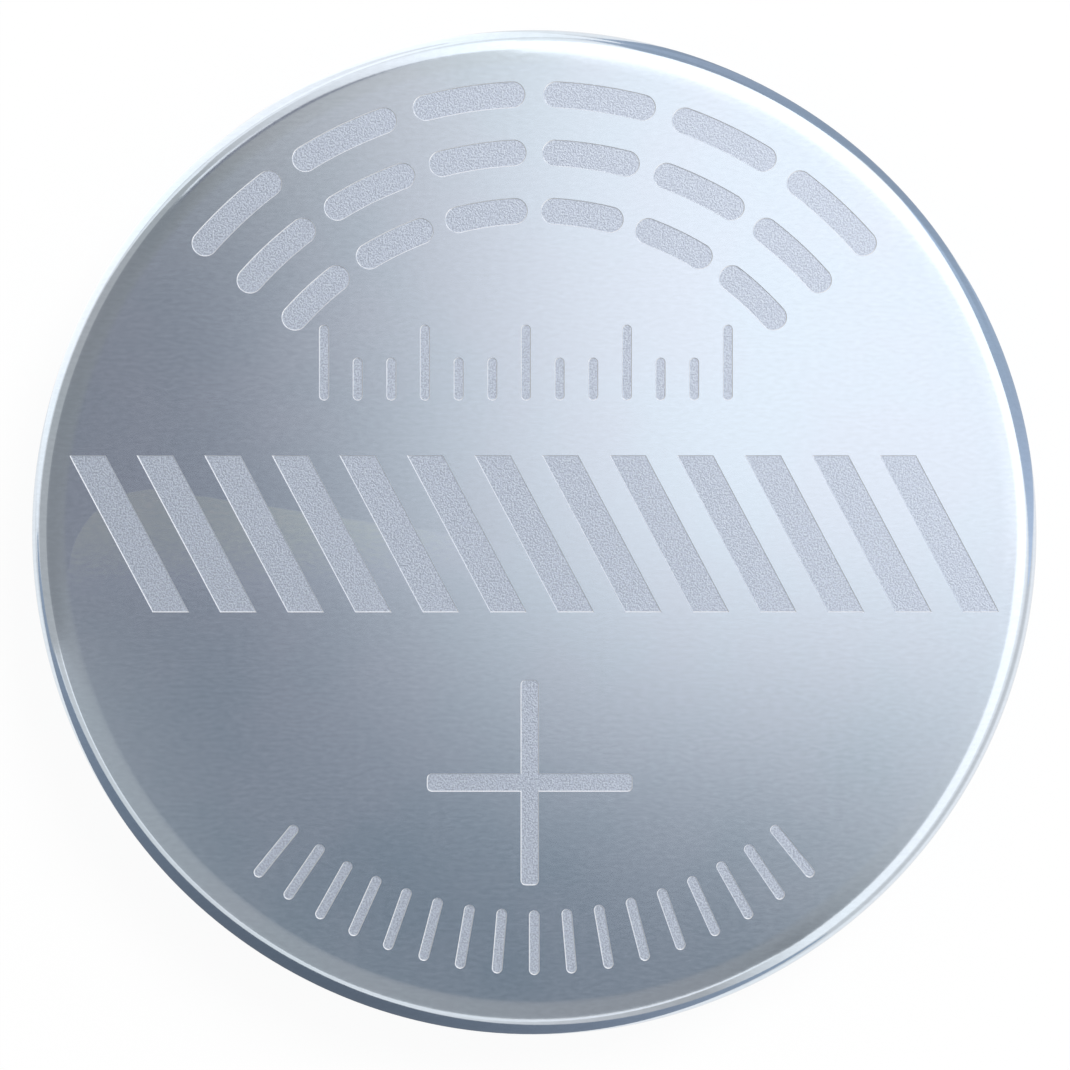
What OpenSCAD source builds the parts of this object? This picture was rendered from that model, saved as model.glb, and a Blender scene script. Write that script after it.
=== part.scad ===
// Lithium coin cell, 20 mm across and 2.5 mm high, lying on its negative cap.
// The origin is the middle of the cap's contact face. +Z runs up to the can's positive face.
// Nearly every piece is turned about the Z axis, so it is drawn as a half section:
// x is the distance from the axis and y is the height.

/* [Cell] */
// Diameter over the can's wall
cell_d = 20; // [18:0.1:24.5]
// Height from the cap's contact face to the can's positive face
cell_h = 2.5; // [2.1:0.05:5]

/* [Positive can] */
// Thickness of the can's sheet
can_t = 0.25; // [0.15:0.01:0.3]
// Outer radius of the drawn corner
can_corner_r = 0.5; // [0.35:0.05:0.7]
// Radius of the soft shoulder between the flat face and the corner
can_blend_r = 1.5; // [0.8:0.1:3]
// Outer radius of the wall's rolled-in edge
crimp_r = 0.7; // [0.5:0.05:0.8]
// Length of the flat lip beyond the rolled edge
lip_len = 0.4; // [0.2:0.05:0.6]
// Height of the lip above the surface that the cell lies on
lip_z = 0.15; // [0.1:0.01:0.2]

/* [Negative cap] */
// Thickness of the cap's sheet
cap_t = 0.25; // [0.15:0.01:0.3]
// Inner radius of the cap's bends
cap_bend_in_r = 0.1; // [0.05:0.01:0.12]

/* [Gasket] */
// Width of the collar that shows between the can's lip and the cap
collar_w = 0.35; // [0.2:0.01:0.5]
// How far the collar's edge sits back from the lip's outer face
collar_back = 0.12; // [0.05:0.01:0.2]
// Thickness between the can's lip and the cap's shoulder
seal_lip_t = 0.25; // [0.15:0.01:0.35]
// Thickness between the can's wall and the cap's skirt
seal_wall_t = 0.35; // [0.25:0.01:0.45]
// Thickness between the can's base and the edge of the skirt
seal_foot_t = 0.3; // [0.2:0.01:0.4]
// Thickness of the rim inside the skirt
seal_rim_t = 0.3; // [0.2:0.01:0.4]
// Depth of the groove that the skirt's edge stands in
seal_groove_h = 0.35; // [0.2:0.01:0.5]

/* [Electrodes] */
// Gap between the lithium disc and the cap's wall
lithium_gap = 0.5; // [0.3:0.05:1]
// Thickness of the lithium disc
lithium_t = 0.46; // [0.2:0.01:0.6]
// Gap between the separator and the gasket's rim
separator_gap = 0.85; // [0.3:0.05:1.5]
// Thickness of the separator's fleece
separator_t = 0.15; // [0.05:0.01:0.2]
// Height of the separator's turned-up edge
separator_edge_h = 0.8; // [0.4:0.05:1]
// Clearance round the cathode pellet in the separator
cathode_fit = 0.05; // [0.02:0.01:0.1]
// Chamfer that the press leaves on the pellet's edges
cathode_chamfer = 0.1; // [0.05:0.01:0.2]

/* [Cathode collector] */
// Distance from the collector's edge to the pellet's
collector_inset = 0.5; // [0.2:0.05:1.5]
// Thickness of the collector
collector_t = 0.1; // [0.05:0.01:0.15]
// Length of the mesh's diamonds, from middle to middle
mesh_pitch_x = 2; // [1.6:0.1:3]
// Width of the mesh's diamonds, from middle to middle
mesh_pitch_y = 1.2; // [1:0.1:2]
// Width of the strands
strand_w = 0.22; // [0.15:0.01:0.3]
// Width of the plain border round the mesh
border_w = 0.3; // [0.2:0.05:0.6]

/* [Hidden] */
$fn = 180;

// Directions in the half section. The soft shoulder turns through about 16 degrees,
// and its end direction has round numbers, from a 7-24-25 triangle.
out = [1, 0];
up = [0, 1];
blend_end = [0.28, 0.96];

// Middles of the can's arcs: rolled edge, soft shoulder and drawn corner
can_r = cell_d / 2;
crimp_at = [can_r - crimp_r, lip_z + crimp_r];
blend_offset = (can_blend_r - can_corner_r) * blend_end;
blend_at = [can_r - can_corner_r - blend_offset.x, cell_h - can_blend_r];
corner_at = blend_at + blend_offset;

// The can's inner faces and the end of its lip
can_bore_r = can_r - can_t;
can_floor_z = cell_h - can_t;
lip_top_z = lip_z + can_t;
lip_end_r = crimp_at.x - lip_len;

// The cap's steps, seated on the gasket
cap_wall_r = lip_end_r - collar_w;
cap_bend_r = cap_bend_in_r + cap_t;
shoulder_z = lip_top_z + seal_lip_t;
skirt_r = can_bore_r - seal_wall_t;
skirt_edge_z = can_floor_z - seal_foot_t;
face_bend_at = [cap_wall_r - cap_bend_r, cap_bend_r];
step_bend_at = [cap_wall_r + cap_bend_in_r, shoulder_z - cap_bend_in_r];
skirt_bend_at = [skirt_r - cap_bend_r, shoulder_z + cap_bend_r];

// The gasket's inner faces
collar_z = lip_z + collar_back;
groove_r = skirt_r - cap_t;
gasket_bore_r = groove_r - seal_rim_t;

// The stack, from the cap's inner face up to the can's floor
lithium_r = cap_wall_r - cap_t - lithium_gap;
separator_r = gasket_bore_r - separator_gap;
cathode_r = separator_r - separator_t - cathode_fit;
collector_r = cathode_r - collector_inset;
lithium_z = cap_t;
separator_z = lithium_z + lithium_t;
cathode_z = separator_z + separator_t;
collector_z = can_floor_z - collector_t;
cathode_t = collector_z - cathode_z;

// How much of each diamond stays open once the strands have their width
mesh_share = 1 - strand_w * norm([mesh_pitch_x, mesh_pitch_y]) / (mesh_pitch_x * mesh_pitch_y);
mesh_half = mesh_share * [mesh_pitch_x, mesh_pitch_y] / 2;

// A rectangle of the half section, from its lower inner corner to its upper outer one
module block(low, high) {
    translate(low)
        square(high - low);
}

// The slice of a disc round the point at, between two directions up to a right angle apart
module slice(at, r, from, to) {
    reach = 2 * r;
    translate(at)
        intersection() {
            circle(r);
            polygon([[0, 0], reach * from, reach * to]);
        }
}

// All that lies inside the can's outer surface moved in by inset. The corner's slice runs on
// under the shoulder's, so that the two overlap where their arcs meet.
module can_envelope(inset) {
    block([0, lip_z + inset], crimp_at);
    block([0, crimp_at.y], [can_r - inset, corner_at.y]);
    block([0, corner_at.y], [blend_at.x, cell_h - inset]);
    slice(crimp_at, crimp_r - inset, -up, out);
    slice(corner_at, can_corner_r - inset, out, up);
    slice(blend_at, can_blend_r - inset, blend_end, up);
}

// All that lies inside the cap's outer surface moved in by inset, up to the skirt's edge
module cap_envelope(inset) {
    block([0, inset], face_bend_at);
    slice(face_bend_at, cap_bend_r - inset, -up, out);
    block([0, face_bend_at.y], [cap_wall_r - inset, step_bend_at.y]);
    difference() {
        block([0, step_bend_at.y], [step_bend_at.x, shoulder_z + inset]);
        slice(step_bend_at, cap_bend_in_r + inset, up, -out);
    }
    block([0, shoulder_z + inset], skirt_bend_at);
    slice(skirt_bend_at, cap_bend_r - inset, -up, out);
    block([0, skirt_bend_at.y], [skirt_r - inset, skirt_edge_z]);
}

// Diamond openings in staggered rows, as many as lie wholly inside radius r
module mesh_openings(r) {
    columns = ceil(r / mesh_pitch_x);
    rows = ceil(2 * r / mesh_pitch_y);
    for (row = [-rows:rows], column = [-columns:columns]) {
        stagger = abs(row % 2) / 2;
        at = [(column + stagger) * mesh_pitch_x, row * mesh_pitch_y / 2];
        end_reach = norm([abs(at.x) + mesh_half.x, at.y]);
        side_reach = norm([at.x, abs(at.y) + mesh_half.y]);
        if (max(end_reach, side_reach) < r)
            translate(at)
                polygon([
                    [mesh_half.x, 0],
                    [0, mesh_half.y],
                    [-mesh_half.x, 0],
                    [0, -mesh_half.y]
                ]);
    }
}

// Deep-drawn stainless steel cup, its edge rolled in over the gasket: the positive terminal
module positive_can() {
    color("lightsteelblue")
        rotate_extrude()
            difference() {
                can_envelope(0);
                can_envelope(can_t);
                block([0, 0], [lip_end_r, lip_top_z]);
            }
}

// Moulded ring that fills what the can and the cap leave: collar, lip seal, wall, foot and rim
module gasket() {
    color("gainsboro")
        rotate_extrude() {
            difference() {
                union() {
                    can_envelope(can_t);
                    block([cap_wall_r, collar_z], [lip_end_r, lip_top_z]);
                }
                cap_envelope(0);
                block([0, skirt_edge_z], [gasket_bore_r, cell_h]);
            }
            block([gasket_bore_r, skirt_edge_z - seal_groove_h], [groove_r, skirt_edge_z]);
        }
}

// Pressed stainless steel cap with a shoulder and a skirt: the negative terminal
module negative_cap() {
    color("silver")
        rotate_extrude()
            difference() {
                cap_envelope(0);
                cap_envelope(cap_t);
            }
}

// Disc of expanded metal between the can's floor and the pellet
module cathode_collector() {
    color("darkgray")
        translate([0, 0, collector_z])
            linear_extrude(collector_t)
                difference() {
                    circle(collector_r);
                    mesh_openings(collector_r - border_w);
                }
}

// Pressed pellet of manganese dioxide and graphite, chamfered where the punches met
module cathode_pellet() {
    color("dimgray")
        translate([0, 0, cathode_z])
            rotate_extrude()
                polygon([
                    [0, 0],
                    [cathode_r - cathode_chamfer, 0],
                    [cathode_r, cathode_chamfer],
                    [cathode_r, cathode_t - cathode_chamfer],
                    [cathode_r - cathode_chamfer, cathode_t],
                    [0, cathode_t]
                ]);
}

// Shallow cup of fleece that holds the pellet and keeps it off the lithium
module separator() {
    bend_r = separator_t + cathode_chamfer;
    bend_at = [separator_r - bend_r, bend_r];
    color("white")
        translate([0, 0, separator_z])
            rotate_extrude()
                difference() {
                    union() {
                        block([0, 0], [bend_at.x, separator_edge_h]);
                        slice(bend_at, bend_r, -up, out);
                        block([bend_at.x, bend_at.y], [separator_r, separator_edge_h]);
                    }
                    block([0, separator_t], [bend_at.x, separator_edge_h]);
                    slice(bend_at, bend_r - separator_t, -up, out);
                    block([bend_at.x, bend_at.y], [separator_r - separator_t, separator_edge_h]);
                }
}

// Punched disc of lithium foil, pressed on the cap's inner face
module lithium_anode() {
    color("lightgray")
        translate([0, 0, lithium_z])
            cylinder(r = lithium_r, h = lithium_t);
}

positive_can();
gasket();
negative_cap();
cathode_collector();
cathode_pellet();
separator();
lithium_anode();
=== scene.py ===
import math

import bmesh
import bpy
from mathutils import Matrix, Vector


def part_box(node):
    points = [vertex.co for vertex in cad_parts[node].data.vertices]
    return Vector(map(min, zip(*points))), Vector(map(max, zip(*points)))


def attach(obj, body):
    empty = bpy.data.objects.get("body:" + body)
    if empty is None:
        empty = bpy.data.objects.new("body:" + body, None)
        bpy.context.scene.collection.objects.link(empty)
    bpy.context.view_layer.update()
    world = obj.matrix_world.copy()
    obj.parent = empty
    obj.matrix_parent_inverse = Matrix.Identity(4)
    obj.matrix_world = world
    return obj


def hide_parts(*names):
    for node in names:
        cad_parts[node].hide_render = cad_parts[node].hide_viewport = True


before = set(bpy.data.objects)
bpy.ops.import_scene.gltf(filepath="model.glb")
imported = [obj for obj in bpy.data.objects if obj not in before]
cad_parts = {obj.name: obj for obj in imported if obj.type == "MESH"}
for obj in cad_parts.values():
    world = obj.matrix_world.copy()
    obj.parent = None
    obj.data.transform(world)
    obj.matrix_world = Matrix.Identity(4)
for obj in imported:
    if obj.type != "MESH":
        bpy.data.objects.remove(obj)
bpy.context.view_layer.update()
print("frame loaded,", len(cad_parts), "pieces")

mm = 0.001  # pieces are modelled in millimetres and brought to metres at the end
tiny = 0.001  # millimetres, closer than this is the same place
up = Vector((0, 0, 1))
scene = bpy.context.scene

# camera, straight above the positive face

cameraSetup = {
    "lens": 100,  # mm, on a sensor 36 mm wide
    "height": 61.17,  # mm above the surface that the cell lies on
    "aim": (0.014, -0.054),  # mm, the point under the middle of the picture
}


def makeCamera():
    data = bpy.data.cameras.new("camera")
    data.lens = cameraSetup["lens"]
    data.clip_start = mm
    camera = bpy.data.objects.new("camera", data)
    camera.location = Vector((*cameraSetup["aim"], cameraSetup["height"])) * mm
    scene.collection.objects.link(camera)
    scene.camera = camera


makeCamera()
scene.view_settings.view_transform = "Standard"
print("camera placed")


# nodes of a material: inputs are numbers, colours or the sockets of other nodes

def addNode(tree, kind, inputs, **settings):
    node = tree.nodes.new("ShaderNode" + kind)
    for name, value in settings.items():
        setattr(node, name, value)
    for name, value in inputs.items():
        if isinstance(value, bpy.types.NodeSocket):
            tree.links.new(value, node.inputs[name])
        else:
            node.inputs[name].default_value = value
    return node


def addMath(tree, operation, first, second):
    return addNode(tree, "Math", {0: first, 1: second}, operation=operation).outputs[0]


def addFade(tree, value, start, end, low=0.0, high=1.0):
    limits = {"Value": value, "From Min": start, "From Max": end, "To Min": low, "To Max": high}
    return addNode(tree, "MapRange", limits, interpolation_type="SMOOTHSTEP").outputs["Result"]


def addMix(tree, share, first, second):
    mix = addNode(tree, "Mix", {"Factor": share}, data_type="RGBA")
    for socket, value in ((mix.inputs[6], first), (mix.inputs[7], second)):
        if isinstance(value, bpy.types.NodeSocket):
            tree.links.new(value, socket)
        else:
            socket.default_value = (*value, 1)
    return mix.outputs[2]


def addGrain(tree, size, stretch, detail=2.0):
    # noise on the piece's own coordinates, size in millimetres, longer along X, Y and Z by stretch
    place = addNode(tree, "TexCoord", {}).outputs["Object"]
    scale = [1 / (mm * size * along) for along in stretch]
    turned = addNode(tree, "Mapping", {"Vector": place, "Scale": scale}).outputs["Vector"]
    return addNode(tree, "TexNoise", {"Vector": turned, "Scale": 1.0, "Detail": detail}).outputs["Fac"]


def addRadius(tree):
    # distance from the cell's axis
    place = addNode(tree, "TexCoord", {}).outputs["Object"]
    flat = addNode(tree, "VectorMath", {0: place, 1: (1, 1, 0)}, operation="MULTIPLY")
    return addNode(tree, "VectorMath", {0: flat.outputs["Vector"]}, operation="LENGTH").outputs["Value"]


def addBump(tree, shader, height, depth, strength):
    # depth is in millimetres
    bump = addNode(tree, "Bump", {"Height": height, "Strength": strength, "Distance": depth * mm})
    tree.links.new(bump.outputs["Normal"], shader.inputs["Normal"])


def newMaterial(name, constants):
    material = bpy.data.materials.new(name)
    material.use_nodes = True
    shader = material.node_tree.nodes["Principled BSDF"]
    for socket, value in constants.items():
        shader.inputs[socket].default_value = value
    return material, material.node_tree, shader


def emptyMaterial(name):
    material = bpy.data.materials.new(name)
    material.use_nodes = True
    material.node_tree.nodes.clear()
    return material, material.node_tree


def tone(colour, share):
    return [channel * share for channel in colour]


# materials

plain = (1, 1, 1)  # a grain as long one way as another
usual = (0.3, 0.7)  # where nearly all values of a noise lie

canFinish = {
    "cool": (0.781, 0.873, 0.956),  # cold steel blue of the plated sheet, a little greener
    "warm": (0.801, 0.869, 0.956),  # and a little redder
    "roughness": 0.22,
    "roughSlow": 0.012,  # how far the roughness goes up and down with the mottle
    "roughFine": 0.01,  # and with the grain
    "coat": 0.35,
    "coatRoughness": 0.04,
    "polish": (9.25, 9.62, 0.5),  # mm from the axis where the drawn rim gets smoother, and how much
    "grain": 0.07,  # mm
    "contrast": 0.07,  # how far the grain's tone goes up and down
    "run": (2.5, 1, 6),  # how much longer the grain is along the sheet and up the drawn wall
    "mottle": 3.2,  # mm, slow change in the finish
    "bump": 0.0006,  # mm
}
paintedReflection = {
    "at": (-7.55, -0.79),  # mm, middle of the rounded corner of a painted reflection, a lighter patch on the face
    "round": 1.66,  # mm, radius of that corner
    "turn": -8.7,  # degrees, slope of the patch's upper edge
    "edge": 0.05,  # mm over which the edge fades
    "up": (-1.7, 0.4),  # mm, where the patch comes in from below
    "across": (1.2, -5.5),  # mm, where it comes in from the right
    "tint": (1.165, 1.15, 1.17),  # how much lighter the painted reflection makes the sheet
}


def addPaintedReflection(tree, steel):
    # a painted reflection: a faint lighter patch with a fine upper edge, open to the right and fading out
    # downwards
    place = addNode(tree, "TexCoord", {}).outputs["Object"]
    turn = (0, 0, math.radians(paintedReflection["turn"]))
    middle = [share * mm for share in paintedReflection["at"]] + [0]
    corner = addNode(tree, "Mapping", {"Vector": place, "Location": middle, "Rotation": turn,
                                       "Scale": (1, -1, 1)}, vector_type="TEXTURE")
    flat = addNode(tree, "VectorMath", {0: corner.outputs["Vector"], 1: (1, 1, 0)}, operation="MULTIPLY")
    outer = addNode(tree, "VectorMath", {0: flat.outputs["Vector"], 1: (0, 0, 0)}, operation="MINIMUM")
    reach = addNode(tree, "VectorMath", {0: outer.outputs["Vector"]}, operation="LENGTH").outputs["Value"]
    inside = addFade(tree, reach, paintedReflection["round"] * mm, (paintedReflection["round"] - paintedReflection["edge"]) * mm)
    where = addNode(tree, "SeparateXYZ", {"Vector": place}).outputs
    fades = [addFade(tree, where[axis], *[edge * mm for edge in paintedReflection[side]])
             for axis, side in (("X", "across"), ("Y", "up"))]
    reflectionMask = addMath(tree, "MULTIPLY", inside, addMath(tree, "MULTIPLY", *fades))
    tint = addMix(tree, reflectionMask, (1, 1, 1), paintedReflection["tint"])
    mixed = addNode(tree, "Mix", {"Factor": 1.0}, data_type="RGBA", blend_type="MULTIPLY")
    tree.links.new(steel, mixed.inputs[6])
    tree.links.new(tint, mixed.inputs[7])
    return mixed.outputs[2]


def makeCanSteel():
    finish = canFinish
    material, tree, shader = newMaterial("satin can steel", {
        "Metallic": 1.0, "Coat Weight": finish["coat"], "Coat Roughness": finish["coatRoughness"],
    })
    fine = addGrain(tree, finish["grain"], finish["run"])
    slow = addGrain(tree, finish["mottle"], plain, 3.0)
    warmth = addFade(tree, slow, 0.35, 0.65)
    light, dark = [addMix(tree, warmth, tone(finish["cool"], share), tone(finish["warm"], share))
                   for share in (1 + finish["contrast"], 1 - finish["contrast"])]
    steel = addMix(tree, fine, dark, light)
    # the sheet's colour carries a painted reflection patch
    tree.links.new(addPaintedReflection(tree, steel), shader.inputs["Base Color"])
    base = finish["roughness"]
    slowRough = addFade(tree, slow, *usual, base - finish["roughSlow"], base + finish["roughSlow"])
    fineRough = addFade(tree, fine, 0.2, 0.8, -finish["roughFine"], finish["roughFine"])
    rough = addMath(tree, "ADD", slowRough, fineRough)
    start, end, smoother = finish["polish"]
    polish = addFade(tree, addRadius(tree), start * mm, end * mm, 1.0, smoother)
    tree.links.new(addMath(tree, "MULTIPLY", rough, polish), shader.inputs["Roughness"])
    addBump(tree, shader, fine, finish["bump"], 0.5)
    return material


frostFinish = {
    "colour": (0.752, 0.812, 0.925),
    "roughness": 0.48,
    "roughSpread": 0.06,
    "speckle": 0.034,  # mm, size of the pits that the etching left
    "contrast": 0.14,  # how far the pits' tone goes up and down
    "bump": 0.004,  # mm
    "edge": (0.93, 0.95, 0.98),  # colour of the slanted edge, which has no pits, lighter than the sheet itself as a painted highlight
    "edgeRoughness": 0.4,
}


def makeFrostedSteel():
    finish = frostFinish
    material, tree, shader = newMaterial("frosted etching", {"Metallic": 1.0})
    pits = addGrain(tree, finish["speckle"], plain, 3.0)
    spots = addFade(tree, pits, 0.36, 0.64)
    colour = finish["colour"]
    tint = addMix(tree, spots, tone(colour, 1 - finish["contrast"]), tone(colour, 1 + finish["contrast"]))
    tree.links.new(tint, shader.inputs["Base Color"])
    base = finish["roughness"]
    rough = addFade(tree, pits, *usual, base - finish["roughSpread"], base + finish["roughSpread"])
    tree.links.new(rough, shader.inputs["Roughness"])
    addBump(tree, shader, spots, finish["bump"], 0.6)
    return material


def makeHighlightedEdgeSteel():
    # smooth slanted edge of each mark, its lighter colour a painted highlight
    return newMaterial("etched edge", {
        "Metallic": 1.0, "Base Color": (*frostFinish["edge"], 1), "Roughness": frostFinish["edgeRoughness"],
    })[0]


capFinish = {
    "colour": (0.80, 0.83, 0.87),
    "contrast": (0.93, 1.03),  # darkest and lightest lines
    "roughness": 0.28,
    "roughSpread": 0.02,
    "streak": 0.12,  # mm across the rolling lines
    "run": 45,  # how much longer they are along the sheet
    "bump": 0.0007,  # mm
}


def makeCapSteel():
    finish = capFinish
    material, tree, shader = newMaterial("rolled cap steel", {"Metallic": 1.0})
    lines = addGrain(tree, finish["streak"], (finish["run"], 1, 4), 1.0)
    colour = finish["colour"]
    tones = [tone(colour, share) for share in finish["contrast"]]
    tint = addMix(tree, addFade(tree, lines, *usual), *tones)
    tree.links.new(tint, shader.inputs["Base Color"])
    base = finish["roughness"]
    rough = addFade(tree, lines, 0.25, 0.75, base - finish["roughSpread"], base + finish["roughSpread"])
    tree.links.new(rough, shader.inputs["Roughness"])
    addBump(tree, shader, lines, finish["bump"], 0.5)
    return material


gasketFinish = {
    "dark": (0.60, 0.61, 0.62),
    "light": (0.70, 0.71, 0.715),
    "cloud": 0.9,  # mm, slow change between the two
    "grain": 0.05,  # mm
    "roughness": (0.42, 0.54),
    "bump": 0.002,  # mm
    "glow": 0.2,  # mm that light goes in under the surface
}


def makeGasketPolymer():
    finish = gasketFinish
    material, tree, shader = newMaterial("moulded polymer", {
        "Subsurface Weight": 0.25, "Subsurface Scale": finish["glow"] * mm, "IOR": 1.49,
    })
    cloud = addGrain(tree, finish["cloud"], plain, 3.0)
    fine = addGrain(tree, finish["grain"], plain)
    tree.links.new(addMix(tree, cloud, finish["dark"], finish["light"]), shader.inputs["Base Color"])
    tree.links.new(addFade(tree, fine, *usual, *finish["roughness"]), shader.inputs["Roughness"])
    addBump(tree, shader, fine, finish["bump"], 0.4)
    return material


# the four sealed pieces, each from the dark to the light side of its grain
innerFinishes = {
    "cathode_collector": {
        "name": "collector steel", "dark": (0.48, 0.49, 0.50), "light": (0.62, 0.63, 0.64),
        "grain": 0.05, "stretch": plain, "roughness": (0.28, 0.4), "bump": 0.004, "metallic": 1.0,
    },
    "cathode_pellet": {
        "name": "pressed black powder", "dark": (0.012, 0.012, 0.013), "light": (0.045, 0.045, 0.047),
        "grain": 0.06, "stretch": plain, "roughness": (0.6, 0.9), "bump": 0.02, "metallic": 0.0,
    },
    "separator": {
        "name": "white fleece", "dark": (0.72, 0.72, 0.70), "light": (0.86, 0.86, 0.84),
        "grain": 0.04, "stretch": (9, 1, 1), "roughness": (0.8, 0.95), "bump": 0.02, "metallic": 0.0,
    },
    "lithium_anode": {
        "name": "dull lithium", "dark": (0.42, 0.42, 0.43), "light": (0.62, 0.62, 0.61),
        "grain": 0.5, "stretch": plain, "roughness": (0.38, 0.6), "bump": 0.003, "metallic": 1.0,
    },
}


def makeInnerMaterial(finish):
    material, tree, shader = newMaterial(finish["name"], {"Metallic": finish["metallic"]})
    grain = addGrain(tree, finish["grain"], finish["stretch"], 4.0)
    colour = addMix(tree, addFade(tree, grain, *usual), finish["dark"], finish["light"])
    tree.links.new(colour, shader.inputs["Base Color"])
    tree.links.new(addFade(tree, grain, *usual, *finish["roughness"]), shader.inputs["Roughness"])
    addBump(tree, shader, grain, finish["bump"], 0.6)
    return material


canSteel = makeCanSteel()
frostedSteel = makeFrostedSteel()
highlightedEdgeSteel = makeHighlightedEdgeSteel()
etchedSteels = [canSteel, frostedSteel, highlightedEdgeSteel]  # the can's slots, in this order on its cutter too
capSteel = makeCapSteel()
gasketPolymer = makeGasketPolymer()
for node, finish in innerFinishes.items():
    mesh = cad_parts[node].data
    mesh.materials.clear()
    mesh.materials.append(makeInnerMaterial(finish))
print("materials made")


# turned pieces

lathe = {
    "steps": 240,  # faces round the axis
    "bendStep": 6,  # degrees of a bend per face
    "burrSteps": 3,  # faces across the rounding of a sheared edge
    "sharp": 28,  # degrees, an edge past this stays sharp
}


def ringEdges(bm, radius, height):
    # the circle that one corner of the profile left
    def onRing(vert):
        return abs(vert.co.z - height) < tiny and abs(vert.co.xy.length - radius) < tiny
    return [edge for edge in bm.edges if onRing(edge.verts[0]) and onRing(edge.verts[1])]


def turnProfile(corners, closed=False):
    # a corner is (radius, height, cut, turn): cut is where its bend starts, turn its angle in degrees
    bm = bmesh.new()
    points = [bm.verts.new((corner[0], 0, corner[1])) for corner in corners]
    ends = points[1:] + points[:1] if closed else points[1:]
    edges = [bm.edges.new(pair) for pair in zip(points, ends)]
    bmesh.ops.spin(bm, geom=points + edges, cent=(0, 0, 0), axis=up, angle=math.tau,
                   steps=lathe["steps"], use_merge=True)
    bmesh.ops.remove_doubles(bm, verts=bm.verts, dist=tiny)
    pole = [vert for vert in bm.verts if vert.co.xy.length < tiny]
    if pole:
        bmesh.ops.dissolve_verts(bm, verts=pole)
    for radius, height, cut, turn in corners:
        if cut:
            bmesh.ops.bevel(bm, geom=ringEdges(bm, radius, height), offset=cut, offset_type="OFFSET",
                            segments=max(2, round(turn / lathe["bendStep"])), profile=0.5,
                            affect="EDGES", material=-1, clamp_overlap=False)
    bmesh.ops.remove_doubles(bm, verts=bm.verts, dist=tiny)
    bmesh.ops.recalc_face_normals(bm, faces=bm.faces)
    return bm


def addPiece(name, node, bm, materials):
    bmesh.ops.scale(bm, vec=(mm, mm, mm), verts=bm.verts)
    for face in bm.faces:
        face.smooth = face.material_index == 0  # the etched faces are flat
    mesh = bpy.data.meshes.new(name)
    bm.to_mesh(mesh)
    bm.free()
    mesh.set_sharp_from_angle(angle=math.radians(lathe["sharp"]))
    for material in materials:
        mesh.materials.append(material)
    piece = bpy.data.objects.new(name, mesh)
    scene.collection.objects.link(piece)
    shading = piece.modifiers.new("even shading", "WEIGHTED_NORMAL")
    shading.keep_sharp = True
    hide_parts(node)
    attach(piece, "root")
    return piece


# positive can

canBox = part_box("positive_can")
can = {
    "radius": canBox[1].x / mm,
    "top": canBox[1].z / mm,
    "lipHeight": canBox[0].z / mm,
    "sheet": 0.25,  # mm
    "shoulderBend": 1.5,  # mm, soft shoulder round the face
    "shoulderTurn": 16.26,  # degrees
    "cornerBend": 0.5,  # mm, drawn corner
    "crimpBend": 0.7,  # mm, edge rolled in over the gasket
    "lip": 0.4,  # mm, flat end of the rolled edge
    "burr": 0.03,  # mm, rounding of the sheared edge
}


def canCorners(inset):
    # outline of the can's half section, moved in by inset
    turn = math.radians(can["shoulderTurn"])
    shoulderCut = (can["shoulderBend"] - inset) * math.tan(turn / 2)
    cornerCut = (can["cornerBend"] - inset) * math.tan(math.pi / 4 - turn / 2)
    slope = shoulderCut + cornerCut
    radius = can["radius"] - inset
    top = can["top"] - inset
    lip = can["lipHeight"] + inset
    return [
        (radius - slope * math.cos(turn), top, shoulderCut, can["shoulderTurn"]),
        (radius, top - slope * math.sin(turn), cornerCut, 90 - can["shoulderTurn"]),
        (radius, lip, can["crimpBend"] - inset, 90),
    ]


lipEnd = can["radius"] - can["crimpBend"] - can["lip"]


def makeCanShell():
    corners = [(0, can["top"], 0, 0), *canCorners(0), (lipEnd, can["lipHeight"], 0, 0)]
    bm = turnProfile(corners)
    bmesh.ops.solidify(bm, geom=bm.faces, thickness=can["sheet"])
    for height in (can["lipHeight"], can["lipHeight"] + can["sheet"]):
        bmesh.ops.bevel(bm, geom=ringEdges(bm, lipEnd, height), offset=can["burr"], offset_type="OFFSET",
                        segments=lathe["burrSteps"], profile=0.5, affect="EDGES", material=-1)
    return bm


# etched marks: plain shapes only, cut as one shallow recess each

etching = {
    "depth": 0.016,  # mm
    "wall": 0.018,  # mm, width of the slanted edge that leads down to the floor
    "clear": 0.2,  # mm, how far the cutter stands above the face
    "roundSteps": 28,  # faces round a bar's two ends
    "bendCuts": 12,  # cuts along a bar that follows an arc
    "slantSteps": 8,  # faces along a slanted bar
    "cornerSteps": 6,  # faces round a corner of the plus
}
topArc = {"stroke": 0.53, "radii": (6.35, 7.5, 8.65), "count": 6, "from": 133, "to": 47, "length": 1.95}
ruler = {"x": (-4.15, 3.82), "foot": 2.6, "strokes": 13, "stroke": 0.2, "long": 1.5, "short": 0.85}
hatch = {"x": (-8.0, 8.0), "y": (-1.58, 1.52), "bars": 13, "width": 0.72, "slant": -28}
plusSign = {"at": (-0.09, -4.94), "span": 4.06, "stroke": 0.36, "round": 0.1}
bottomArc = {"radius": 8.1, "height": 1.28, "stroke": 0.21, "count": 17, "from": 231, "to": 309}


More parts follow.
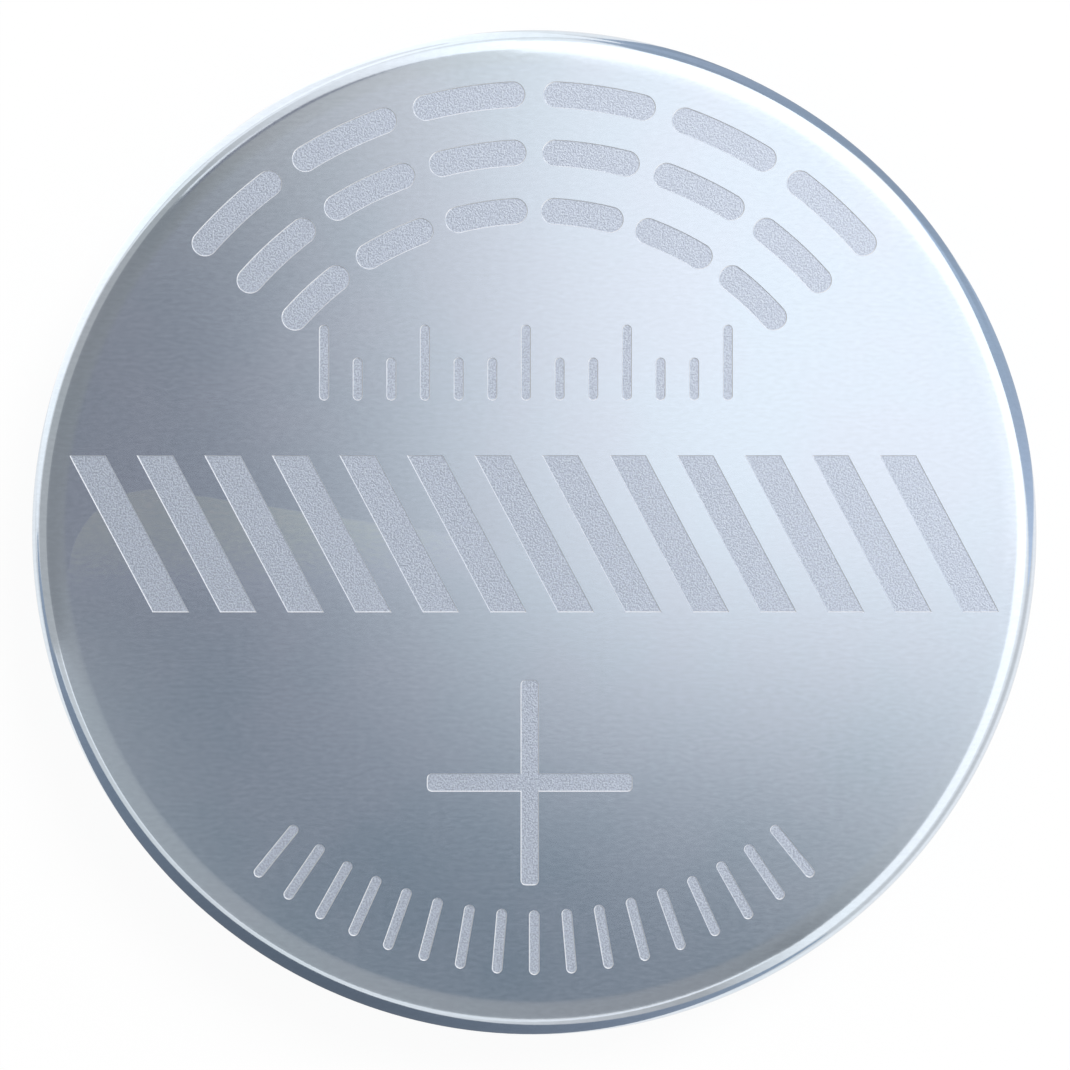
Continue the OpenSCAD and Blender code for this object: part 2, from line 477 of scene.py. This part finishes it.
def addBar(bm, length, width, bend=0):
    # a flat bar with round ends along X; with a bend it follows a circle of that radius round the axis
    steps = etching["roundSteps"]
    first = len(bm.verts)
    turn = Matrix.Rotation(math.pi / steps, 4, up)
    bmesh.ops.create_circle(bm, cap_ends=True, radius=width / 2, segments=steps, matrix=turn)
    bm.verts.ensure_lookup_table()
    verts = bm.verts[first:]
    for vert in verts:
        vert.co.x += math.copysign((length - width) / 2, vert.co.x)
    if bend:
        sides = [edge for edge in verts[0].link_faces[0].edges if edge.calc_length() > width]
        bmesh.ops.subdivide_edges(bm, edges=sides, cuts=etching["bendCuts"])
        bm.verts.ensure_lookup_table()
        verts = bm.verts[first:]
        for vert in verts:
            angle = vert.co.x / bend
            reach = bend + vert.co.y
            vert.co = (reach * math.sin(angle), reach * math.cos(angle), 0)
    return verts


def layMark(bm, verts, x=0, y=0, turn=0):
    matrix = Matrix.Translation((x, y, 0)) @ Matrix.Rotation(math.radians(turn), 4, up)
    bmesh.ops.transform(bm, matrix=matrix, verts=verts)


def evenly(start, end, count):
    return [start + (end - start) * step / (count - 1) for step in range(count)]


def addTopArc(bm):
    for azimuth in evenly(topArc["from"], topArc["to"], topArc["count"]):
        for radius in topArc["radii"]:
            verts = addBar(bm, topArc["length"] * radius / topArc["radii"][1], topArc["stroke"], radius)
            layMark(bm, verts, turn=azimuth - 90)


def addRuler(bm):
    for index, x in enumerate(evenly(*ruler["x"], ruler["strokes"])):
        height = ruler["short"] if index % 3 else ruler["long"]
        verts = addBar(bm, height, ruler["stroke"])
        layMark(bm, verts, x, ruler["foot"] + height / 2, 90)


def addHatch(bm):
    low, high = hatch["y"]
    lean = math.tan(math.radians(hatch["slant"]))
    for x in evenly(*hatch["x"], hatch["bars"]):
        verts = bmesh.ops.create_grid(bm, x_segments=1, y_segments=etching["slantSteps"],
                                       size=0.5)["verts"]
        for vert in verts:
            across, along = vert.co.x * hatch["width"], vert.co.y * (high - low)
            vert.co = (x + across + along * lean, (low + high) / 2 + along, 0)


def addPlus(bm):
    # a square whose four sides are drawn out
    stroke, span = plusSign["stroke"], plusSign["span"]
    before = set(bm.verts)
    core = bmesh.ops.create_grid(bm, x_segments=1, y_segments=1, size=stroke / 2)["verts"]
    outer = []
    for edge in list(core[0].link_faces[0].edges):
        side = (edge.verts[0].co + edge.verts[1].co).normalized()
        made = bmesh.ops.extrude_edge_only(bm, edges=[edge])["geom"]
        ends = [item for item in made if isinstance(item, bmesh.types.BMVert)]
        bmesh.ops.translate(bm, vec=side * (span - stroke) / 2, verts=ends)
        outer += ends
    bmesh.ops.bevel(bm, geom=outer, offset=plusSign["round"], offset_type="OFFSET",
                    segments=etching["cornerSteps"], profile=0.5, affect="VERTICES", material=-1)
    layMark(bm, [vert for vert in bm.verts if vert not in before], *plusSign["at"])


def addBottomArc(bm):
    for azimuth in evenly(bottomArc["from"], bottomArc["to"], bottomArc["count"]):
        verts = addBar(bm, bottomArc["height"], bottomArc["stroke"])
        layMark(bm, verts, x=bottomArc["radius"])
        layMark(bm, verts, turn=azimuth)


def makeCutter():
    # each outline stands above the face, goes down to it, then narrows to the floor of its recess
    bm = bmesh.new()
    for addMarks in (addTopArc, addRuler, addHatch, addBottomArc, addPlus):
        addMarks(bm)
    bm.normal_update()
    bmesh.ops.reverse_faces(bm, faces=[face for face in bm.faces if face.normal.z > 0])
    bmesh.ops.translate(bm, vec=up * (can["top"] + etching["clear"]), verts=bm.verts)
    made = bmesh.ops.extrude_face_region(bm, geom=bm.faces[:], use_keep_orig=True)["geom"]
    floors = [item for item in made if isinstance(item, bmesh.types.BMFace)]
    lower = [item for item in made if isinstance(item, bmesh.types.BMVert)]
    bmesh.ops.translate(bm, vec=-up * etching["clear"], verts=lower)
    edges = bmesh.ops.inset_region(bm, faces=floors, thickness=etching["wall"], depth=etching["depth"],
                                   use_boundary=True, use_even_offset=True)["faces"]
    for face in bm.faces:
        face.material_index = etchedSteels.index(frostedSteel)
    # the slanted edges take the lighter steel, a painted highlight round each mark
    for face in edges:
        face.material_index = etchedSteels.index(highlightedEdgeSteel)
    return bm


def makeBlank(name, bm):
    mesh = bpy.data.meshes.new(name)
    bm.to_mesh(mesh)
    bm.free()
    for material in etchedSteels:
        mesh.materials.append(material)
    blank = bpy.data.objects.new(name, mesh)
    scene.collection.objects.link(blank)
    return blank


def makeCan():
    shell = makeBlank("can blank", makeCanShell())
    cutter = makeBlank("etching cutter", makeCutter())
    cut = shell.modifiers.new("etching", "BOOLEAN")
    cut.object = cutter
    cut.solver = "MANIFOLD"
    bpy.context.view_layer.update()
    etched = bpy.data.meshes.new_from_object(shell.evaluated_get(bpy.context.evaluated_depsgraph_get()))
    bm = bmesh.new()
    bm.from_mesh(etched)
    bpy.data.meshes.remove(etched)
    for blank in (shell, cutter):
        bpy.data.meshes.remove(blank.data)
    return addPiece("can_shell", "positive_can", bm, etchedSteels)


canPiece = makeCan()
print("can turned and etched,", len(canPiece.data.polygons), "faces")


# negative cap

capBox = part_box("negative_cap")
cap = {
    "radius": capBox[1].x / mm,
    "skirtTop": capBox[1].z / mm,
    "sheet": 0.25,  # mm
    "wallRadius": 8.55,  # mm, side of the raised contact
    "shoulder": 0.65,  # mm, height of the shoulder that the gasket presses on
    "bend": 0.35,  # mm, outer side of a bend
    "innerBend": 0.1,  # mm, hollow side of a bend
    "burr": 0.03,  # mm
}


def makeCap():
    corners = [
        (0, 0, 0, 0),
        (cap["wallRadius"], 0, cap["bend"], 90),
        (cap["wallRadius"], cap["shoulder"], cap["innerBend"], 90),
        (cap["radius"], cap["shoulder"], cap["bend"], 90),
        (cap["radius"], cap["skirtTop"], 0, 0),
    ]
    bm = turnProfile(corners)
    bmesh.ops.solidify(bm, geom=bm.faces, thickness=cap["sheet"])
    for radius in (cap["radius"], cap["radius"] - cap["sheet"]):
        bmesh.ops.bevel(bm, geom=ringEdges(bm, radius, cap["skirtTop"]), offset=cap["burr"],
                        offset_type="OFFSET", segments=lathe["burrSteps"], profile=0.5,
                        affect="EDGES", material=-1)
    return addPiece("cap_shell", "negative_cap", bm, [capSteel])


capPiece = makeCap()
print("cap turned,", len(capPiece.data.polygons), "faces")


# gasket

gasket = {
    "collar": 0.12,  # mm, how far its edge sits back from the lip
    "collarRound": 0.05,  # mm
    "bore": 8.85,  # mm
    "groove": 0.35,  # mm, depth of the groove for the skirt
}


def makeGasket():
    sheet = can["sheet"]
    collar = can["lipHeight"] + gasket["collar"]
    skirtInside = cap["radius"] - cap["sheet"]
    shoulder, corner, crimp = canCorners(sheet)
    bm = turnProfile([
        (cap["wallRadius"], collar, gasket["collarRound"], 90),
        (lipEnd, collar, gasket["collarRound"], 90),
        (lipEnd, can["lipHeight"] + sheet, 0, 0),
        crimp,
        corner,
        shoulder,
        (gasket["bore"], can["top"] - sheet, 0, 0),
        (gasket["bore"], cap["skirtTop"] - gasket["groove"], 0, 0),
        (skirtInside, cap["skirtTop"] - gasket["groove"], 0, 0),
        (skirtInside, cap["skirtTop"], 0, 0),
        (cap["radius"], cap["skirtTop"], 0, 0),
        (cap["radius"], cap["shoulder"], cap["bend"], 90),
        (cap["wallRadius"], cap["shoulder"], cap["innerBend"], 90),
    ], closed=True)
    return addPiece("seal_ring", "gasket", bm, [gasketPolymer])


gasketPiece = makeGasket()
print("gasket turned,", len(gasketPiece.data.polygons), "faces")


# floor, world, cards and lamp

studio = {
    "floor": 600,  # mm, half its width
    "floorColour": (0.93, 0.93, 0.93),
    "floorWhite": 1.03,  # strength of the floor's own white
    "floorGlow": 0.87,  # how much of the floor's white doesn't take the shadow
    "floorGap": 0.02,  # mm below the cell, so that the two faces don't coincide
    "floorClear": 0.4,  # mm, how near the floor is clear
    "world": 1.0,  # as the camera and the metal see it
    "diffuseWorld": 0.66,  # as matt surfaces see it
    "cardSteps": 60,  # faces along a card
}


def addStageMesh(name, bm, material, glossyOnly=False):
    bmesh.ops.scale(bm, vec=(mm, mm, mm), verts=bm.verts)
    mesh = bpy.data.meshes.new(name)
    bm.to_mesh(mesh)
    bm.free()
    mesh.materials.append(material)
    item = bpy.data.objects.new(name, mesh)
    scene.collection.objects.link(item)
    if glossyOnly:
        item.visible_camera = False
        item.visible_diffuse = False
        item.visible_shadow = False
        item.visible_transmission = False
    return item


def makeFloor():
    # clear when seen from below, and from nearer than floorClear, as under the cell's rolled edge
    material, tree = emptyMaterial("pale floor")
    matt = addNode(tree, "BsdfDiffuse", {"Color": (*studio["floorColour"], 1)})
    glow = addNode(tree, "Emission", {"Color": (1, 1, 1, 1), "Strength": studio["floorWhite"]})
    mixed = addNode(tree, "MixShader", {"Fac": studio["floorGlow"], 1: matt.outputs[0], 2: glow.outputs[0]})
    length = addNode(tree, "LightPath", {}).outputs["Ray Length"]
    near = addMath(tree, "LESS_THAN", length, studio["floorClear"] * mm)
    below = addNode(tree, "NewGeometry", {}).outputs["Backfacing"]
    clear = addMath(tree, "MAXIMUM", near, below)
    through = addNode(tree, "BsdfTransparent", {})
    surface = addNode(tree, "MixShader", {"Fac": clear, 1: mixed.outputs[0], 2: through.outputs[0]})
    addNode(tree, "OutputMaterial", {"Surface": surface.outputs[0]})
    bm = bmesh.new()
    bmesh.ops.create_grid(bm, x_segments=1, y_segments=1, size=studio["floor"])
    bmesh.ops.translate(bm, vec=-up * studio["floorGap"], verts=bm.verts)
    return addStageMesh("floor", bm, material)


def makeWorld():
    world = bpy.data.worlds.new("studio")
    scene.world = world
    world.use_nodes = True
    tree = world.node_tree
    seen = addNode(tree, "LightPath", {})
    direct = addMath(tree, "MAXIMUM", seen.outputs["Is Camera Ray"], seen.outputs["Is Glossy Ray"])
    direct = addMath(tree, "MAXIMUM", direct, seen.outputs["Is Transmission Ray"])
    strength = addFade(tree, direct, 0, 1, studio["diffuseWorld"], studio["world"])
    background = tree.nodes["Background"]
    background.inputs["Color"].default_value = (1, 1, 1, 1)
    tree.links.new(strength, background.inputs["Strength"])


softLamp = {
    "size": 120,  # mm across
    "at": (110, 120, 210),  # mm
    "power": 0.2,  # watts
}


def makeLamp():
    data = bpy.data.lights.new("soft lamp", "AREA")
    data.shape = "DISK"
    data.size = softLamp["size"] * mm
    data.energy = softLamp["power"]
    lamp = bpy.data.objects.new("soft lamp", data)
    lamp.location = Vector(softLamp["at"]) * mm
    lamp.rotation_mode = "QUATERNION"
    lamp.rotation_quaternion = lamp.location.to_track_quat("Z", "Y")
    lamp.visible_glossy = False
    scene.collection.objects.link(lamp)


overhead = {
    "height": 60,  # mm
    "radius": 56,  # mm
    "steps": 64,  # corners round its edge
    "spread": 1.98,  # how much larger the face shows on the card than it is
    "bright": (1.04, 1.045, 1.075),
    "leftDark": (0.194, 0.20, 0.24),
    "bottomDark": (0.13, 0.168, 0.212),
    "across": (-7.0, 3.6),  # mm on the face, where the light comes up from left to right
    "lean": 0.10,  # how far that edge leans, mm across for each mm up
    "upward": (-8.0, 1.0),  # mm on the face, where it comes up from below
}


def makeOverhead():
    material, tree = emptyMaterial("graded card")
    spread = overhead["spread"] * mm
    where = addNode(tree, "SeparateXYZ", {"Vector": addNode(tree, "TexCoord", {}).outputs["Object"]})
    x, y = where.outputs["X"], where.outputs["Y"]
    leaning = addMath(tree, "ADD", x, addMath(tree, "MULTIPLY", y, overhead["lean"]))
    across = addFade(tree, leaning, *[edge * spread for edge in overhead["across"]])
    upward = addFade(tree, y, *[edge * spread for edge in overhead["upward"]])
    dark = addMix(tree, upward, overhead["bottomDark"], overhead["leftDark"])
    share = addMath(tree, "MULTIPLY", across, upward)
    colour = addMix(tree, share, dark, overhead["bright"])
    light = addNode(tree, "Emission", {"Color": colour, "Strength": 1.0})
    addNode(tree, "OutputMaterial", {"Surface": light.outputs[0]})
    bm = bmesh.new()
    bmesh.ops.create_circle(bm, cap_ends=True, radius=overhead["radius"], segments=overhead["steps"],
                            matrix=Matrix.Translation(up * overhead["height"]))
    return addStageMesh("graded card", bm, material, glossyOnly=True)


# graded cards on a dome round the cell. Azimuths and elevations are in degrees; low, high and glow
# are given at the start and at the end of the card, and run evenly between the two.
domeRadius = 56  # mm, so that the cards stand before the overhead one
white = (1.0, 1.0, 1.0)  # the usual tint of a card
cool = (0.98, 1.01, 1.05)
blue = (0.80, 0.94, 1.16)
cards = {
    "lower right card": {"azimuth": (-56, -4), "low": (7, 21), "high": (42.3, 51.5), "glow": (0.97, 1.25)},
    "right card": {"azimuth": (-4, 22), "low": (21, 28), "high": (50, 52.2), "glow": (1.3, 1.3)},
    "upper right card": {"azimuth": (22, 42), "low": (28, 6), "high": (52.2, 53.8), "glow": (1.3, 1.3)},
    "far right card": {"azimuth": (42, 92), "low": (6, 24), "high": (53.8, 58), "glow": (1.3, 1.3)},
    "upper card": {"azimuth": (92, 132), "low": (18, 18), "high": (50, 42), "glow": (1.3, 0.5)},
    "upper shoulder": {"azimuth": (86, 136), "low": (49, 49), "high": (73, 73), "glow": (0.82, 0.27)},
    "upper left card": {"azimuth": (130, 150), "low": (24, 8), "high": (42, 42), "glow": (0.44, 0.44)},
    "left card": {"azimuth": (150, 194), "low": (8, 4), "high": (42, 42), "glow": (0.44, 0.46)},
    "left shoulder": {"azimuth": (136, 193), "low": (42, 42), "high": (68, 68), "glow": (0.26, 0.27),
                      "colour": cool},
    "lower shoulder": {"azimuth": (193, 300), "low": (41, 44.5), "high": (73, 66), "glow": (0.42, 0.29),
                       "colour": cool},
    "right shoulder": {"azimuth": (300, 352), "low": (43, 48), "high": (72, 72), "glow": (0.23, 0.88),
                       "colour": cool},
    "lower rim card": {"azimuth": (252, 290), "low": (26.5, 10), "high": (29, 38.6), "glow": (0.88, 0.42)},
    "lower rim end": {"azimuth": (290, 304), "low": (10, 7), "high": (38.6, 42.3), "glow": (0.42, 0.97)},
    "line card": {"azimuth": (194, 300), "low": (14, 41.5), "high": (36, 45), "glow": (0.62, 1.0)},
}
# dark flags and a bright foot stand round the cell on the floor, lowest and narrowest at their ends,
# with the first glow at both ends and the second in the middle
flags = {
    "upper right flag": {"azimuth": (-6, 44), "high": 28, "near": 10.5, "glow": (0.72, 0.47), "colour": blue},
    "upper flag": {"azimuth": (47, 86), "high": 26, "near": 10.5, "glow": (0.50, 0.36), "colour": blue},
    "upper foot": {"azimuth": (16, 84), "high": 3, "near": 10.4, "glow": (0.50, 0.38), "colour": blue},
    "upper rim foot": {"azimuth": (80, 140), "high": 10, "near": 10.4, "glow": (0.95, 1.15)},
    "upper left foot": {"azimuth": (100, 187), "high": 2, "near": 10.4, "glow": (0.84, 1.12)},
    "lower left flag": {"azimuth": (180, 306), "high": 27, "near": 10.5, "glow": (0.42, 0.15),
                        "colour": blue},
}
flagFoot = {
    "height": 0.05,  # mm above the floor, for the first flag
    "step": 0.01,  # mm, how much higher each next flag stands
    "taper": 12,  # mm, how far a flag draws back from the cell at its ends
}
# a soft grey horizon and floor that only the metal sees; (radius, height, glow), mm
horizon = ((10.4, 0.04, 0.84), (13.5, 0.04, 0.92), (17.5, 0.04, 0.64), (57.5, 0.04, 0.62),
           (57.5, 3, 0.70), (57.5, 8, 0.85), (57.5, 20, 1.0))
# the same for the underside
footLight = ((0, -40, 0.34), (20, -38, 0.46), (40, -28, 0.70), (52, -14, 0.88), (57, -2, 0.60))


def onDome(elevation):
    angle = math.radians(elevation)
    return Vector((math.cos(angle), 0, math.sin(angle))) * domeRadius


def glowMaterial(name, colour):
    material, tree = emptyMaterial(name)
    glow = addNode(tree, "Attribute", {}, attribute_name="glow")
    light = addNode(tree, "Emission", {"Color": (*colour, 1), "Strength": glow.outputs["Fac"]})
    addNode(tree, "OutputMaterial", {"Surface": light.outputs[0]})
    return material


def spinProfile(profile, azimuth):
    # turns a profile in the XZ plane through a range of azimuths, and says how far along each vertex lies
    bm = bmesh.new()
    glow = bm.verts.layers.float.new("glow")
    verts = [bm.verts.new(point) for point in profile]
    edges = [bm.edges.new(pair) for pair in zip(verts, verts[1:])]
    start, end = [math.radians(angle) for angle in azimuth]
    bmesh.ops.rotate(bm, cent=(0, 0, 0), matrix=Matrix.Rotation(start, 3, up), verts=verts)
    bmesh.ops.spin(bm, geom=verts + edges, cent=(0, 0, 0), axis=up, angle=end - start,
                   steps=studio["cardSteps"])
    middle = (start + end) / 2
    along = {}
    for vert in bm.verts:
        angle = math.atan2(vert.co.y, vert.co.x)
        off = (angle - middle + math.pi) % math.tau - math.pi
        along[vert] = 0.5 + off / (end - start)
    return bm, along, glow


def partWay(pair, share):
    return pair[0] + (pair[1] - pair[0]) * share


def addCards():
    for name, card in cards.items():
        # a strip whose edges then go to the card's own elevations
        bm, along, glow = spinProfile([onDome(0), onDome(1)], card["azimuth"])
        for vert, share in along.items():
            edge = "low" if vert.co.z < tiny else "high"
            height = onDome(partWay(card[edge], share))
            vert.co.xy = vert.co.xy.normalized() * height.x
            vert.co.z = height.z
            vert[glow] = partWay(card["glow"], share)
        addStageMesh(name, bm, glowMaterial(name, card.get("colour", white)), glossyOnly=True)


def addRing(name, profile):
    # all round the cell, each vertex as bright as its own point of the profile
    bm, along, glow = spinProfile([(radius, 0, height) for radius, height, light in profile], (0, 360))
    for vert in along:
        nearest = min(profile, key=lambda ring: abs(ring[0] - vert.co.xy.length) + abs(ring[1] - vert.co.z))
        vert[glow] = nearest[2]
    bmesh.ops.remove_doubles(bm, verts=bm.verts, dist=tiny)
    addStageMesh(name, bm, glowMaterial(name, white), glossyOnly=True)


def addFlags():
    for index, (name, flag) in enumerate(flags.items()):
        foot = flagFoot["height"] + flagFoot["step"] * index
        profile = [(flag["near"], 0, foot), (domeRadius, 0, foot), (domeRadius, 0, 1)]
        bm, along, glow = spinProfile(profile, flag["azimuth"])
        for vert, share in along.items():
            rise = math.sin(math.pi * min(1, max(0, share)))
            if vert.co.z > 2 * foot:
                vert.co.z = foot + domeRadius * math.tan(math.radians(flag["high"])) * rise
            elif vert.co.xy.length < domeRadius / 2:
                vert.co.xy = vert.co.xy.normalized() * (flag["near"] + flagFoot["taper"] * (1 - rise) ** 2)
            vert[glow] = partWay(flag["glow"], rise)
        addStageMesh(name, bm, glowMaterial(name, flag.get("colour", white)), glossyOnly=True)


makeFloor()
makeWorld()
makeLamp()
makeOverhead()
addCards()
addFlags()
addRing("horizon", horizon)
addRing("foot light", footLight)
print("studio lit")
